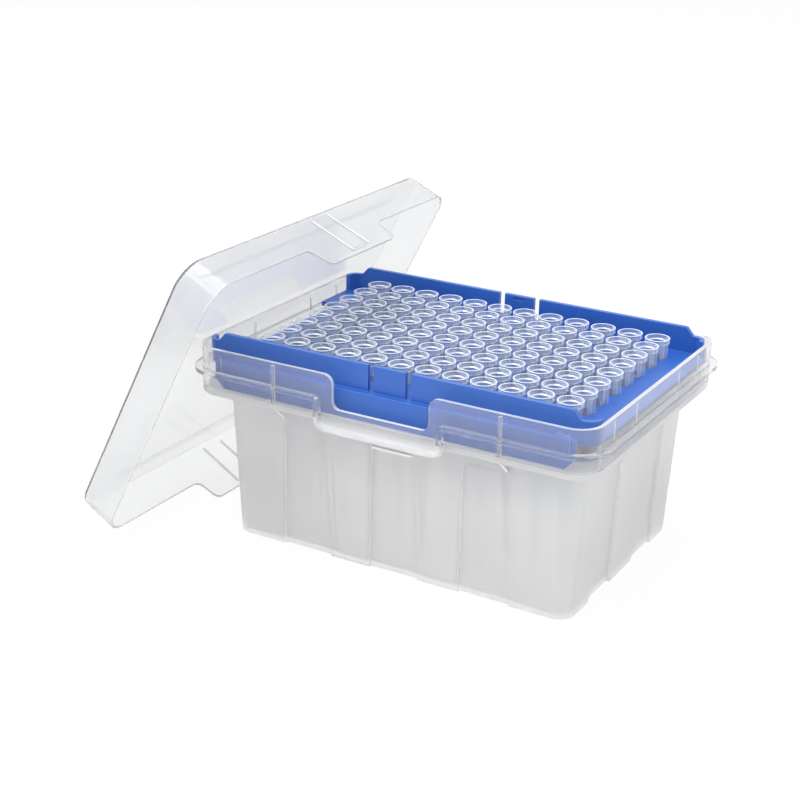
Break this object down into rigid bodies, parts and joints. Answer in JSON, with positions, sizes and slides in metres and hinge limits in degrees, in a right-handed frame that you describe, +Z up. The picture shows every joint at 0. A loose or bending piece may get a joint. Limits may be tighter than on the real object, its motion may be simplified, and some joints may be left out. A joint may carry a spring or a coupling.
{
  "type": "pipette tip box",
  "caption": "Open translucent box with a blue rack that holds a full grid of pipette tips, its lid taken off and leaning against one end.",
  "frame": {"origin": "middle of the base box's underside, where it stands", "axes": "+Z up, +X along the box's long side away from the leaning lid, -Y towards the front"},
  "size_m": [0.162, 0.1344, 0.0959],
  "materials": {
    "milky_plastic": "translucent, satin",
    "clear_plastic": "nearly clear, glossy",
    "tip_plastic": "clear, glossy",
    "blue_plastic": "satin"
  },
  "bodies": {
    "root": {"base": "milky_plastic", "rack": "blue_plastic", "lid": "clear_plastic", "tips_column_01": "tip_plastic", "tips_column_02": "tip_plastic", "tips_column_03": "tip_plastic", "tips_column_04": "tip_plastic", "tips_column_05": "tip_plastic", "tips_column_06": "tip_plastic", "tips_column_07": "tip_plastic", "tips_column_08": "tip_plastic", "tips_column_09": "tip_plastic", "tips_column_10": "tip_plastic", "tips_column_11": "tip_plastic", "tips_column_12": "tip_plastic"}
  },
  "joints": []
}
